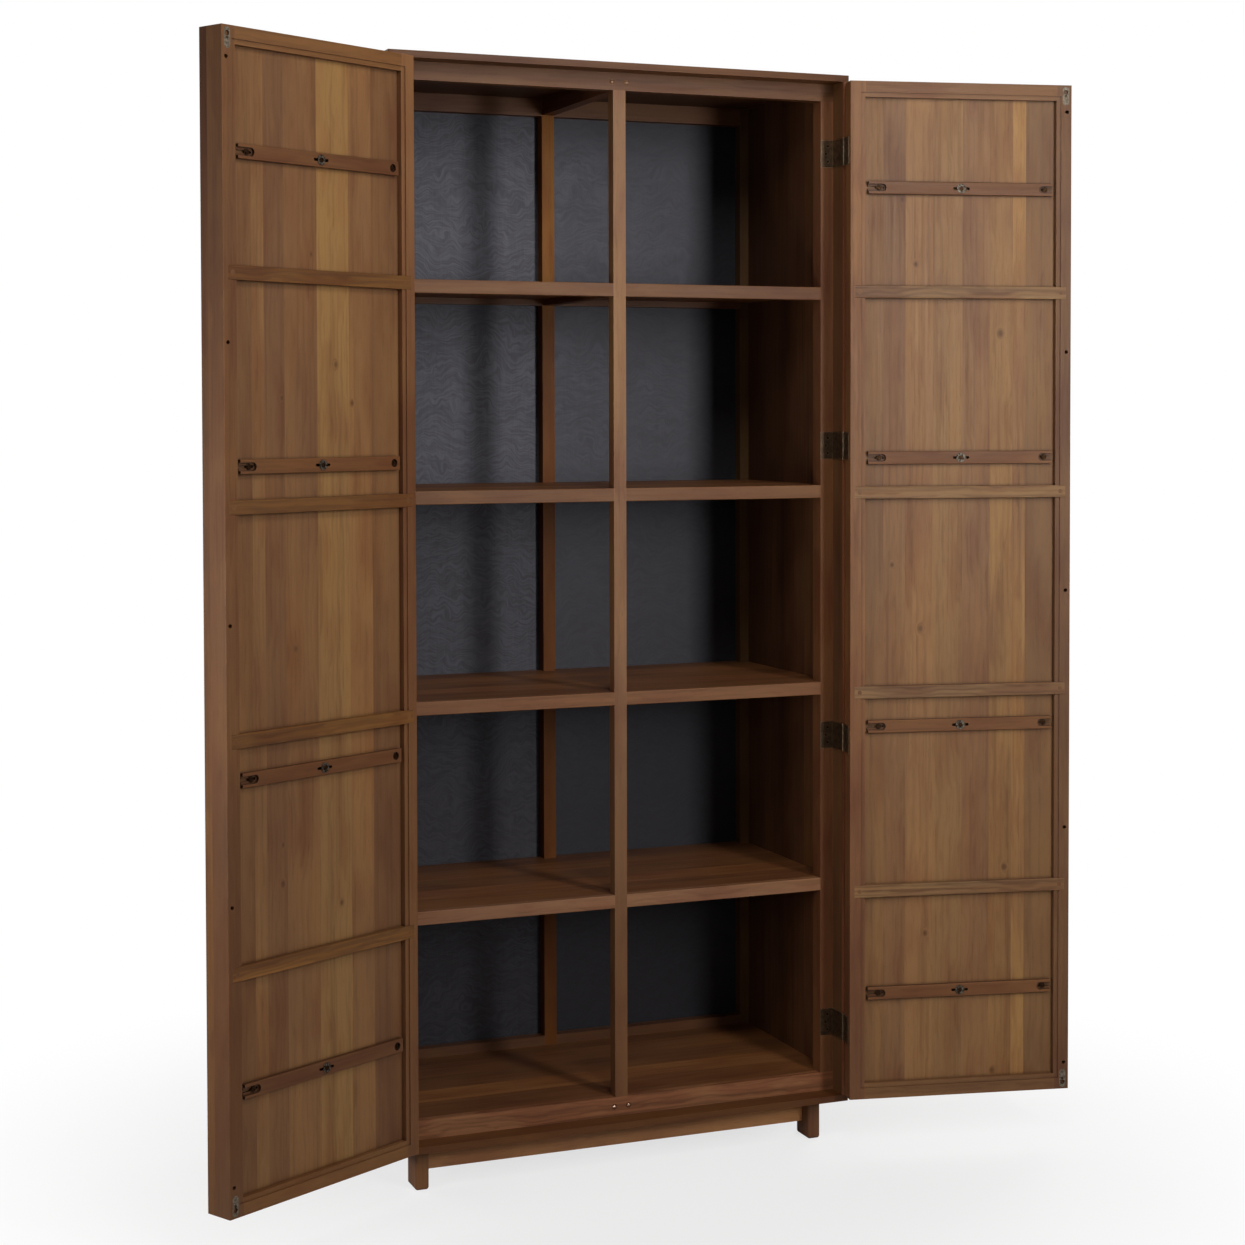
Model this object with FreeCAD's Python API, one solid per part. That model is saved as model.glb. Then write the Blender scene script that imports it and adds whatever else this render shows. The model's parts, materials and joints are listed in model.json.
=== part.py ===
import FreeCAD, Part
import math
import os

os.makedirs("parts", exist_ok=True)

# Case: a tall box of thin boards, open at the front
case_width = 890.0
case_height = 1927.0
case_depth = 453.0
board = 12.0
side_board = 12.0
corner_round = 3.0
edge_round = 1.2

# Base: four short feet joined by a front and a back apron
foot_height = 73.0
foot_width = 25.0
foot_depth = 52.0
foot_side_inset = 47.0
foot_front_inset = 25.0
foot_round = 5.0
apron_height = 45.0
apron_thickness = 20.0
apron_setback = 27.0
apron_tenon = 12.0
apron_shoulder = 4.0

# Doors: frame and panel, hung inside the case and held behind its front edge
door_thickness = 36.0
door_setback = 5.0
door_back_gap = 1.0
door_end_gap = 4.0
meeting_gap = 5.0
left_open_deg = 151.2
right_open_deg = 168.0

# Door frame members
member_width = 29.0
lip_width = 8.5
lip_depth = 2.0
tenon_length = 18.0
tenon_thickness = 12.0
tenon_shoulder = 5.0

# Door panel, tongued into the frame
panel_depth = 12.0
panel_thickness = 12.0
tongue_thickness = 6.0
groove_depth = 11.0
panel_play = 1.0

# Cross rails, half lapped into the stiles at the height of each shelf
cross_height = 23.0
cross_hinge_inset = 9.0
cross_free_inset = 10.0
plug_radius = 4.2
plug_length = 6.0
plug_end_inset = 9.5
plug_fit = 0.05

# Battens, screwed across the back of the panel through slots
batten_height = 23.5
batten_thickness = 9.0
batten_end_gap = 6.5
batten_level_shares = (0.173, 0.518)
slot_width = 5.0
pocket_radius = 7.0
pocket_depth = 5.0
long_pocket = 34.0
long_screw_inset = 21.0
short_pocket = 27.0
short_screw_inset = 14.4
fixed_screw_inset = 13.0
slot_end_gap = 3.0
middle_slot = 33.0
washer_radius = 5.2
middle_washer_radius = 8.5
washer_thickness = 1.0
batten_screw_head = 4.0
batten_screw_rise = 1.4
batten_screw_shank = 1.9
batten_screw_bite = 7.0
pilot_gap = 0.3

# Square pull strip down the meeting edge, screwed on through five deep holes
pull_width = 18.0
pull_depth = 18.0
pull_hole_radius = 3.5
pull_hole_depth = 24.0
pull_hole_end = 50.0
pull_hole_count = 5

# Face frame behind the doors
face_depth = 24.0
face_stile_width = 26.0
face_stile_depth = 32.0
centre_stile_width = 24.0
top_rail_height = 32.0
bottom_rail_height = 34.0

# Shelves: a board let into a front strip and a back rail
shelf_count = 4
shelf_board = 12.0
shelf_strip = 24.0
shelf_rebate = 8.0
bearer_width = 24.0

# Back frame and the panels that close it
back_frame_depth = 24.0
back_panel = 9.0
back_post_width = 25.0
corner_post_width = 18.5
back_top_rail = 34.0
back_bottom_rise = 18.0

# Hinges: cranked butt hinges that wrap the recess of the face frame
hinge_count = 4
hinge_height = 50.8
hinge_end_inset = 126.0
hinge_gap = 2.5
leaf = 1.2
knuckle_radius = 2.8
knuckle_clearance = 0.1
knuckle_cut = 0.3
knuckle_end_gap = 0.1
knuckle_count = 3
pin_radius = 1.4
pin_fit = 0.05
pin_head_radius = 2.4
pin_head = 0.8
door_leaf_width = 26.0
hinge_screw_pitch = 14.2
hinge_screw_stagger = 2.0
hinge_screw_head = 2.5
hinge_screw_rise = 0.6
hinge_screw_shank = 1.2
hinge_screw_length = 10.0

# Ball catches beside the centre stile, and the oval plates they click into
ball_radius = 3.5
ball_stand = 2.5
ball_side_inset = 14.0
ball_end_inset = 13.0
ball_play = 0.05
cup_radius = 5.0
cup_length = 14.0
cup_floor = 1.2
cup_proud = 0.2
cup_lip = 0.4
cup_fit = 0.05
strike_length = 34.0
strike_width = 12.5
strike_thickness = 1.5
strike_end_gap = 3.0
dimple_radius = 4.3
dimple_depth = 3.5

# Overrun of a cutting shape past the face that it opens
overrun = 1.0

# Levels and planes that follow from the sizes above, with x = 0 in the middle of
# the case, y = 0 on its front edge and z = 0 on the floor
case_low = foot_height
case_high = foot_height + case_height
inner_low = case_low + board
inner_high = case_high - board
half_case = case_width / 2
half_inner = half_case - side_board
recess = door_setback + door_thickness + door_back_gap
door_inner = recess - door_back_gap
door_low = inner_low + door_end_gap
door_height = inner_high - door_end_gap - door_low
door_width = half_inner - hinge_gap - meeting_gap / 2
hinge_edge = hinge_gap - half_inner
opening_low = inner_low + bottom_rail_height
opening_high = inner_high - top_rail_height
level_pitch = (opening_high - opening_low + shelf_strip) / (shelf_count + 1)
back_frame = case_depth - back_panel - back_frame_depth
back_face = back_frame + back_frame_depth
axis_x = hinge_gap / 2 - half_inner
axis_y = -knuckle_radius - knuckle_clearance
panel_face = door_inner - panel_depth

X = FreeCAD.Vector(1, 0, 0)
Y = FreeCAD.Vector(0, 1, 0)
Z = FreeCAD.Vector(0, 0, 1)


def block(x, y, z):
    """A box between the two ends of each pair."""
    corner = FreeCAD.Vector(x[0], y[0], z[0])
    return Part.makeBox(x[1] - x[0], y[1] - y[0], z[1] - z[0], corner)


def rod(radius, length, x, y, z, direction):
    return Part.makeCylinder(radius, length, FreeCAD.Vector(x, y, z), direction)


def mirrored(shape):
    """The same shape on the other side of the middle of the case."""
    return shape.mirror(FreeCAD.Vector(0, 0, 0), X)


def pair(shape):
    return [shape, mirrored(shape)]


def about(middle, size):
    return (middle - size / 2, middle + size / 2)


def shelf_middle(number):
    """Height of the middle of a shelf strip, counted from 1 at the bottom."""
    return opening_low + number * level_pitch - shelf_strip / 2


def shelf_middles():
    return [shelf_middle(number) for number in range(1, shelf_count + 1)]


def evenly(low, high, count):
    return [low + (high - low) * step / (count - 1) for step in range(count)]


def door_block(u, v, w):
    """A box in the closed left door: u from its hinge edge, v from its inner
    face towards the front, w up from its lower end."""
    return block(
        (hinge_edge + u[0], hinge_edge + u[1]),
        (door_inner - v[1], door_inner - v[0]),
        (door_low + w[0], door_low + w[1]),
    )


def door_rod(radius, u, v, w):
    """A round bar in the closed left door, square to its inner face."""
    length = v[1] - v[0]
    return rod(radius, length, hinge_edge + u, door_inner - v[1], door_low + w, Y)


def eased(bar, radius, along, *outward):
    """Round the edges of a bar that run one way and lie on every side named."""
    edges = []
    for edge in bar.Edges:
        run = edge.Vertexes[-1].Point - edge.Vertexes[0].Point
        place = edge.CenterOfMass - bar.CenterOfMass
        parallel = run.cross(along).Length < run.Length / 2
        if parallel and all(place.dot(side) > 0 for side in outward):
            edges.append(edge)
    return bar.makeFillet(radius, edges)


def case_boards():
    low = block((-half_case, half_case), (0, case_depth), (case_low, inner_low))
    high = block((-half_case, half_case), (0, case_depth), (inner_high, case_high))
    side = block((-half_case, -half_inner), (0, case_depth), (inner_low, inner_high))
    side = eased(side, corner_round, Z, -X, -Y)
    return {
        "case_bottom": [eased(low, corner_round, Z, -Y)],
        "case_top": [eased(high, corner_round, Z, -Y)],
        "case_left_side": [side],
        "case_right_side": [mirrored(side)],
    }


def base():
    """Feet with rounded edges, and the aprons tenoned between them."""
    x = (foot_side_inset - half_case, foot_side_inset + foot_width - half_case)
    front = (foot_front_inset, foot_front_inset + foot_depth)
    back = (case_depth - front[1], case_depth - front[0])
    inner_foot = x[1]
    apron_y = (front[0] + apron_setback, front[0] + apron_setback + apron_thickness)
    back_y = (case_depth - apron_y[1], case_depth - apron_y[0])
    apron_low = case_low - apron_height
    tenon_z = (apron_low + apron_shoulder, case_low - apron_shoulder)
    feet = []
    aprons = []
    for foot_y, y in ((front, apron_y), (back, back_y)):
        tenon_y = (y[0] + apron_shoulder, y[1] - apron_shoulder)
        tenon = block((inner_foot - apron_tenon, -inner_foot + apron_tenon), tenon_y, tenon_z)
        foot = block(x, foot_y, (0, case_low))
        rounded = [edge for edge in foot.Edges if edge.BoundBox.ZMin < case_low / 2]
        foot = foot.makeFillet(foot_round, rounded)
        feet += pair(foot.cut(tenon))
        apron = block((inner_foot, -inner_foot), y, (apron_low, case_low))
        apron = eased(apron, edge_round, X, -Z)
        aprons.append(apron.fuse(tenon).removeSplitter())
    return {"base_feet": feet, "base_aprons": aprons}


def catch_places():
    """Middles of the left hand ball catches: x across and z up."""
    low = door_low + ball_end_inset
    high = door_low + door_height - ball_end_inset
    return [(-ball_side_inset, low), (-ball_side_inset, high)]


def face_frame():
    """Rails run from side to side, and the three uprights stand between them."""
    y = (recess, recess + face_depth)
    width = (-half_inner, half_inner)
    upright = (opening_low, opening_high)
    inner_stile = face_stile_width - half_inner
    low = block(width, y, (inner_low, opening_low))
    high = block(width, y, (opening_high, inner_high))
    ledge_y = (y[1] - shelf_rebate, y[1])
    low = low.cut(block(width, ledge_y, (opening_low - shelf_board, opening_low)))
    for x, z in catch_places():
        for side in (x, -x):
            cup = rod(cup_radius + cup_fit, cup_length - cup_proud, side, recess, z, Y)
            low = low.cut(cup)
            high = high.cut(cup)
    stile = block((-half_inner, inner_stile), (recess, recess + face_stile_depth), upright)
    for z in hinge_middles():
        flange = block((-half_inner, inner_stile), (recess, recess + leaf), about(z, hinge_height))
        stile = stile.cut(flange)
        for x, height in case_leaf_screws(z):
            radius = hinge_screw_shank + pilot_gap
            stile = stile.cut(rod(radius, hinge_screw_length, x, recess, height, Y))
    centre = block(about(0, centre_stile_width), y, upright)
    return {
        "face_bottom_rail": [low],
        "face_top_rail": [high],
        "face_left_stile": [stile],
        "face_right_stile": [mirrored(stile)],
        "face_centre_stile": [centre],
    }


def shelf_boards():
    """Full width boards, notched round the uprights, with the strips and rails
    that carry their edges and a bearer under the middle of each. The deck ends
    against the bottom rails of the back."""
    inner_stile = face_stile_width - half_inner
    strip_x = (inner_stile, -centre_stile_width / 2)
    rail_x = (corner_post_width - half_inner, -back_post_width / 2)
    strip_y = (recess, recess + face_depth)
    rail_y = (back_frame, back_face)
    board_front = strip_y[1] - shelf_rebate
    shelf_back = back_frame + shelf_rebate
    bearer_y = (strip_y[1], back_frame)
    nodes = {}
    strips = []
    rails = []
    bearers = [
        block(about(0, bearer_width), bearer_y, (opening_high, inner_high)),
        block(about(0, bearer_width), bearer_y, (inner_low, opening_low - shelf_board)),
    ]

    def notched(z):
        shape = block((-half_inner, half_inner), (board_front, back_frame), z)
        stile_y = (board_front, recess + face_stile_depth)
        cuts = pair(block((-half_inner, inner_stile), stile_y, z))
        cuts.append(block(about(0, centre_stile_width), (board_front, strip_y[1]), z))
        return shape.cut(cuts)

    for number, middle in enumerate(shelf_middles(), 1):
        z = about(middle, shelf_strip)
        ledge_z = (z[1] - shelf_board, z[1])
        strip = eased(block(strip_x, strip_y, z), edge_round, X, -Y)
        strip = strip.cut(block(strip_x, (board_front, strip_y[1]), ledge_z))
        tongue = block(rail_x, (back_frame, shelf_back), ledge_z)
        strips += pair(strip)
        rails += pair(block(rail_x, rail_y, z).cut(tongue))
        bearers.append(block(about(0, bearer_width), bearer_y, (z[0], ledge_z[0])))
        nodes["shelf_%d" % number] = [notched(ledge_z).fuse(pair(tongue)).removeSplitter()]
    nodes["deck_board"] = [notched((opening_low - shelf_board, opening_low))]
    nodes["shelf_front_strips"] = strips
    nodes["shelf_back_rails"] = rails
    nodes["centre_bearers"] = bearers
    return nodes


def back_frame_members():
    y = (back_frame, back_face)
    full = (inner_low, inner_high)
    rail_x = (corner_post_width - half_inner, -back_post_width / 2)
    corner = block((-half_inner, rail_x[0]), y, full)
    top = block(rail_x, y, (inner_high - back_top_rail, inner_high))
    bottom = block(rail_x, y, (inner_low, opening_low + back_bottom_rise))
    panel = block((-half_inner, 0), (back_face, case_depth), full)
    return {
        "back_corner_posts": pair(corner),
        "back_centre_post": [block(about(0, back_post_width), y, full)],
        "back_top_rails": pair(top),
        "back_bottom_rails": pair(bottom),
        "back_panels": pair(panel),
    }


def hinge_middles():
    low = door_low + hinge_end_inset
    high = door_low + door_height - hinge_end_inset
    return evenly(low, high, hinge_count)


def staggered(across, up):
    """The three screws of a hinge leaf about its middle, the middle one aside."""
    near, far = across - hinge_screw_stagger, across + hinge_screw_stagger
    return [(near, up - hinge_screw_pitch), (far, up), (near, up + hinge_screw_pitch)]


def case_leaf_screws(z):
    """On the flange in the recess: x across and z up."""
    return staggered(face_stile_width / 2 - half_inner, z)


def door_leaf_screws(z):
    """On the hinge edge of the closed door: y across and z up."""
    return staggered(door_setback + door_leaf_width / 2, z)


def knuckle_spans(z):
    """Lower and upper ends of the knuckles of one hinge, from the bottom."""
    low = z - hinge_height / 2
    each = hinge_height / knuckle_count
    spans = []
    for number in range(knuckle_count):
        start = low + number * each
        spans.append((start + knuckle_end_gap, start + each - knuckle_end_gap))
    return spans


def leaf_with_knuckles(plate, leaf_x, spans):
    """Join a plate to its knuckles with tabs and bore them for the pin."""
    shape = plate
    tab_y = (axis_y, axis_y + knuckle_radius + knuckle_cut)
    for span in spans:
        length = span[1] - span[0]
        shape = shape.fuse(rod(knuckle_radius, length, axis_x, axis_y, span[0], Z))
        shape = shape.fuse(block(leaf_x, tab_y, span))
    low = min(span[0] for span in spans) - overrun
    high = max(span[1] for span in spans) + overrun
    bore = rod(pin_radius + pin_fit, high - low, axis_x, axis_y, low, Z)
    return shape.cut(bore).removeSplitter()


def screw(x, y, z, direction):
    """A flush screw: its head's outer face is at the given point."""
    head = rod(hinge_screw_head, hinge_screw_rise, x, y, z, direction)
    return head.fuse(rod(hinge_screw_shank, hinge_screw_length, x, y, z, direction))


def screw_hole(x, y, z, direction):
    head = rod(hinge_screw_head + pilot_gap, hinge_screw_rise, x, y, z, direction)
    return head.fuse(rod(hinge_screw_shank + pilot_gap, leaf + overrun, x, y, z, direction))


def hinges():
    """Left hand hinges: the case leaf is cranked round the recess, the door
    leaf lies flat on the door's hinge edge."""
    case_leaves, door_leaves, case_screws, door_screws, pins = [], [], [], [], []
    case_x = (-half_inner, leaf - half_inner)
    door_x = (hinge_edge - leaf, hinge_edge)
    web_low = axis_y + knuckle_radius + knuckle_cut
    flange_x = (-half_inner, face_stile_width - half_inner)
    door_leaf_y = (web_low, door_setback + door_leaf_width)
    for z in hinge_middles():
        height = about(z, hinge_height)
        spans = knuckle_spans(z)
        web = block(case_x, (web_low, recess + leaf), height)
        flange = block(flange_x, (recess, recess + leaf), height)
        case_leaf = leaf_with_knuckles(web.fuse(flange), case_x, spans[0::2])
        for x, place in case_leaf_screws(z):
            case_leaf = case_leaf.cut(screw_hole(x, recess, place, Y))
            case_screws.append(screw(x, recess, place, Y))
        door_leaf = leaf_with_knuckles(block(door_x, door_leaf_y, height), door_x, spans[1::2])
        for y, place in door_leaf_screws(z):
            door_leaf = door_leaf.cut(screw_hole(door_x[0], y, place, X))
            door_screws.append(screw(door_x[0], y, place, X))
        pin = rod(pin_radius, hinge_height, axis_x, axis_y, height[0], Z)
        pins.append(pin.fuse(rod(pin_head_radius, pin_head, axis_x, axis_y, height[1], Z)))
        case_leaves.append(case_leaf)
        door_leaves.append(door_leaf)
    return case_leaves, case_screws, pins, door_leaves, door_screws


def catches():
    """Cups let into the rails, and the balls that stand out of them."""
    cups = []
    balls = {}
    ball_y = recess - ball_stand + ball_radius
    mouth = recess - cup_proud
    for level, (x, z) in zip(("lower", "upper"), catch_places()):
        cup = rod(cup_radius, cup_length, x, mouth, z, Y)
        well = cup_length - cup_lip - cup_floor
        cup = cup.cut(rod(ball_radius + ball_play, well, x, mouth + cup_lip, z, Y))
        cup = cup.cut(rod(ball_radius - ball_play, cup_lip, x, mouth, z, Y))
        ball = Part.makeSphere(ball_radius, FreeCAD.Vector(x, ball_y, z))
        cups += pair(cup)
        balls["catch_ball_%s_left" % level] = [ball]
        balls["catch_ball_%s_right" % level] = [mirrored(ball)]
    return cups, balls


def strike_blank(low, depth):
    """An oval across the free stile, from its inner face to the given depth."""
    u = door_width - meeting_edge_inset()
    radius = strike_width / 2
    ends = (low + radius, low + strike_length - radius)
    shape = door_block(about(u, strike_width), (0, depth), ends)
    for w in ends:
        shape = shape.fuse(door_rod(radius, u, (0, depth), w))
    return shape.removeSplitter()


def meeting_edge_inset():
    """Distance of the ball catches from the door's free edge."""
    return ball_side_inset - meeting_gap / 2


def strikes():
    """Plates and the room for the ball behind them, at both ends of the door."""
    u = door_width - meeting_edge_inset()
    plates, pockets = [], []
    lows = (strike_end_gap, door_height - strike_end_gap - strike_length)
    balls = (ball_end_inset, door_height - ball_end_inset)
    for low, w in zip(lows, balls):
        dimple = door_rod(dimple_radius, u, (0, dimple_depth), w)
        blank = strike_blank(low, strike_thickness)
        plates.append(blank.cut(dimple))
        pockets.append(blank.fuse(dimple))
    return plates, pockets


def cross_middles():
    """Heights of the cross rails up the door, level with the shelves."""
    return [middle - door_low for middle in shelf_middles()]


def plugs(middle, fit):
    """The wooden plugs near both ends of a cross rail, or their holes."""
    end = door_width - cross_free_inset
    places = (cross_hinge_inset + plug_end_inset, end - plug_end_inset)
    return [door_rod(plug_radius + fit, u, (0, plug_length), middle) for u in places]


def door_stiles():
    """Full height stiles, grooved for the panel, mortised for the rails and
    housed for the cross rails."""
    inner = door_width - member_width
    full = (0, door_height)
    lip_w = (member_width - lip_width, door_height - member_width + lip_width)
    groove_w = (member_width - groove_depth, door_height - member_width + groove_depth)
    tongue_v = (panel_depth, panel_depth + tongue_thickness)
    hinge = door_block((0, member_width), (0, door_thickness), full)
    hinge = eased(hinge, edge_round, Z, -X)
    free = door_block((inner, door_width), (0, door_thickness), full)
    free = eased(free, edge_round, Z, X, Y)
    hinge_cuts = [
        door_block((member_width - lip_width, member_width), (0, lip_depth), lip_w),
        door_block((member_width - groove_depth, member_width), tongue_v, groove_w),
    ]
    free_cuts = [
        door_block((inner, inner + lip_width), (0, lip_depth), lip_w),
        door_block((inner, inner + groove_depth), tongue_v, groove_w),
    ]
    hinge_cuts += door_tenons((member_width - tenon_length, member_width))
    free_cuts += door_tenons((inner, inner + tenon_length))
    for middle in cross_middles():
        w = about(middle, cross_height)
        hinge_cuts.append(door_block((cross_hinge_inset, member_width), (0, panel_depth), w))
        free_cuts.append(door_block((inner, door_width - cross_free_inset), (0, panel_depth), w))
    for w in evenly(pull_hole_end, door_height - pull_hole_end, pull_hole_count):
        depth = (0, pull_hole_depth)
        free_cuts.append(door_rod(pull_hole_radius, door_width - pull_width / 2, depth, w))
    for z in hinge_middles():
        for y, place in door_leaf_screws(z):
            radius = hinge_screw_shank + pilot_gap
            hinge_cuts.append(rod(radius, hinge_screw_length, hinge_edge, y, place, X))
    free_cuts += strikes()[1]
    return hinge.cut(hinge_cuts), free.cut(free_cuts)


def door_tenons(u):
    """The two rail tenons that enter a stile over the given width."""
    v = (panel_depth, panel_depth + tenon_thickness)
    low = (tenon_shoulder, member_width - groove_depth)
    high = (door_height - low[1], door_height - low[0])
    return [door_block(u, v, low), door_block(u, v, high)]


def door_rails():
    """Bottom and top rail, with their tenons, lip and panel groove."""
    u = (member_width, door_width - member_width)
    tenon_u = (u[0] - tenon_length, u[1] + tenon_length)
    tongue_v = (panel_depth, panel_depth + tongue_thickness)
    low_tenon, high_tenon = door_tenons(tenon_u)
    inner_w = member_width - lip_width
    rails = []
    for tenon, flip in ((low_tenon, False), (high_tenon, True)):
        def place(w):
            return (door_height - w[1], door_height - w[0]) if flip else w
        rail = door_block(u, (0, door_thickness), place((0, member_width))).fuse(tenon)
        lip = door_block(u, (0, lip_depth), place((inner_w, member_width)))
        groove = door_block(u, tongue_v, place((member_width - groove_depth, member_width)))
        rails.append(rail.cut([lip, groove]).removeSplitter())
    return rails


def door_panel():
    """A board with a tongue all round, thicker over its field on the front."""
    tongue = groove_depth - panel_play
    reach = member_width - tongue
    field = member_width + panel_play
    back = door_block(
        (reach, door_width - reach),
        (panel_depth, panel_depth + tongue_thickness),
        (reach, door_height - reach),
    )
    front = door_block(
        (field, door_width - field),
        (panel_depth + tongue_thickness, panel_depth + panel_thickness),
        (field, door_height - field),
    )
    return back.fuse(front).removeSplitter()


def batten_middles():
    """Two battens above and two below the middle of the door."""
    crosses = cross_middles()
    near, far = [share * level_pitch for share in batten_level_shares]
    half = len(crosses) // 2
    return [crosses[0] - far, crosses[half - 1] - near, crosses[half] + near, crosses[-1] + far]


def batten_ends():
    start = member_width + batten_end_gap
    return (start, door_width - start)


def batten_screw_places(side):
    """First, middle and last screw of a batten, from the door's hinge edge."""
    start, end = batten_ends()
    middle = (start + end) / 2
    if side == "left":
        return [start + fixed_screw_inset, middle, end - long_screw_inset]
    return [start + long_screw_inset, middle, end - short_screw_inset]


def slot(u, v, w, width):
    """A slot along the batten with round ends, cut to the given depth."""
    shape = door_block(u, v, about(w, width))
    for end in u:
        shape = shape.fuse(door_rod(width / 2, end, v, w))
    return shape


def batten(side, middle):
    """One batten: an end that is open or fixed, and a closed middle slot."""
    start, end = batten_ends()
    v = (panel_depth - batten_thickness, panel_depth)
    pocket_v = (v[0], v[0] + pocket_depth)
    centre = (start + end) / 2
    half_slot = (middle_slot - slot_width) / 2
    shape = door_block((start, end), v, about(middle, batten_height))
    shape = eased(shape, edge_round, X, Y)
    cuts = [slot((centre - half_slot, centre + half_slot), v, middle, slot_width)]
    if side == "left":
        cuts += open_end(end, -1, long_pocket, v, pocket_v, middle)
        screw_u = start + fixed_screw_inset
        cuts.append(door_rod(pocket_radius, screw_u, pocket_v, middle))
        cuts.append(door_rod(slot_width / 2, screw_u, v, middle))
    else:
        cuts += open_end(start, 1, long_pocket, v, pocket_v, middle)
        cuts += open_end(end, -1, short_pocket, v, pocket_v, middle)
    return shape.cut(cuts)


def open_end(edge, way, length, v, pocket_v, middle):
    """A pocket and its slot, both running out through the batten's end."""
    outside = edge - way * pocket_radius
    pocket_end = edge + way * (length - pocket_radius)
    slot_end = edge + way * (length - slot_end_gap - slot_width / 2)
    pocket = slot(sorted((outside, pocket_end)), pocket_v, middle, 2 * pocket_radius)
    return [pocket, slot(sorted((outside, slot_end)), v, middle, slot_width)]


def batten_fixings(side):
    """Washers in the pockets and over the middle slot, and their screws."""
    surface = panel_depth - batten_thickness
    washers, screws = [], []
    seats = (surface + pocket_depth, surface, surface + pocket_depth)
    radii = (washer_radius, middle_washer_radius, washer_radius)
    for middle in batten_middles():
        for u, seat, radius in zip(batten_screw_places(side), seats, radii):
            top = seat - washer_thickness
            washer = door_rod(radius, u, (top, seat), middle)
            hole = door_rod(batten_screw_shank + pilot_gap, u, (top, seat), middle)
            washers.append(washer.cut(hole))
            head = door_rod(batten_screw_head, u, (top - batten_screw_rise, top), middle)
            reach = panel_depth + batten_screw_bite - pilot_gap
            shank = door_rod(batten_screw_shank, u, (top, reach), middle)
            screws.append(head.fuse(shank))
    return washers, screws


def door(side, leaves, leaf_screws):
    """All pieces of one closed door, as if it were the left one."""
    hinge_stile, free_stile = door_stiles()
    low_rail, high_rail = door_rails()
    crosses, cross_plugs, battens, pilots = [], [], [], []
    inner_v = (0, panel_depth)
    for middle in cross_middles():
        u = (cross_hinge_inset, door_width - cross_free_inset)
        cross = eased(door_block(u, inner_v, about(middle, cross_height)), edge_round, X, Y)
        crosses.append(cross.cut(plugs(middle, plug_fit)))
        cross_plugs += plugs(middle, 0)
    for middle in batten_middles():
        battens.append(batten(side, middle))
        for u in batten_screw_places(side):
            depth = (panel_depth, panel_depth + batten_screw_bite)
            pilots.append(door_rod(batten_screw_shank + pilot_gap, u, depth, middle))
    washers, screws = batten_fixings(side)
    pull_v = (door_thickness, door_thickness + pull_depth)
    pull = door_block((door_width - pull_width, door_width), pull_v, (0, door_height))
    return {
        "hinge_stile": [hinge_stile],
        "free_stile": [free_stile],
        "bottom_rail": [low_rail],
        "top_rail": [high_rail],
        "panel": [door_panel().cut(pilots)],
        "cross_rails": crosses,
        "cross_rail_plugs": cross_plugs,
        "battens": battens,
        "batten_washers": washers,
        "batten_screws": screws,
        "pull_strip": [eased(pull, edge_round, Z, -Y)],
        "strike_plates": strikes()[0],
        "hinge_leaves": leaves,
        "hinge_screws": leaf_screws,
    }


def hung(side, solids):
    """Swing the closed pieces of a door open about its hinge axis."""
    pivot = FreeCAD.Vector(axis_x, axis_y, 0)
    angle = -left_open_deg
    if side == "right":
        solids = [mirrored(shape) for shape in solids]
        pivot = FreeCAD.Vector(-axis_x, axis_y, 0)
        angle = right_open_deg
    for shape in solids:
        shape.rotate(pivot, Z, angle)
    return solids


def cabinet():
    nodes = {}
    nodes.update(case_boards())
    nodes.update(base())
    nodes.update(face_frame())
    nodes.update(shelf_boards())
    nodes.update(back_frame_members())
    cups, balls = catches()
    nodes["catch_cups"] = cups
    nodes.update(balls)
    case_leaves, case_screws, pins, door_leaves, door_screws = hinges()
    nodes["case_hinge_leaves"] = [s for shape in case_leaves for s in pair(shape)]
    nodes["case_hinge_screws"] = [s for shape in case_screws for s in pair(shape)]
    nodes["hinge_pins"] = [s for shape in pins for s in pair(shape)]
    for side in ("left", "right"):
        leaves = [shape.copy() for shape in door_leaves]
        screws = [shape.copy() for shape in door_screws]
        for name, solids in door(side, leaves, screws).items():
            nodes["%s_door_%s" % (side, name)] = hung(side, solids)
    return nodes


def middle_of(nodes):
    """The point on the floor under the middle of the whole opened cabinet."""
    boxes = [shape.BoundBox for solids in nodes.values() for shape in solids]
    x = (min(b.XMin for b in boxes) + max(b.XMax for b in boxes)) / 2
    y = (min(b.YMin for b in boxes) + max(b.YMax for b in boxes)) / 2
    return FreeCAD.Vector(x, y, 0)


def main():
    nodes = cabinet()
    middle = middle_of(nodes)
    for name, solids in nodes.items():
        whole = solids[0] if len(solids) == 1 else Part.makeCompound(solids)
        whole.translate(-middle)
        whole.exportStep("parts/%s.step" % name)
    print("origin in case axes", round(middle.x, 4), round(middle.y, 4))
    print("hinge axis in case axes", round(axis_x, 4), round(axis_y, 4))
    print("nodes", len(nodes), "solids", sum(len(s) for s in nodes.values()))


main()
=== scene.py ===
import json
import math
import bpy
from mathutils import Matrix, Vector


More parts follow.
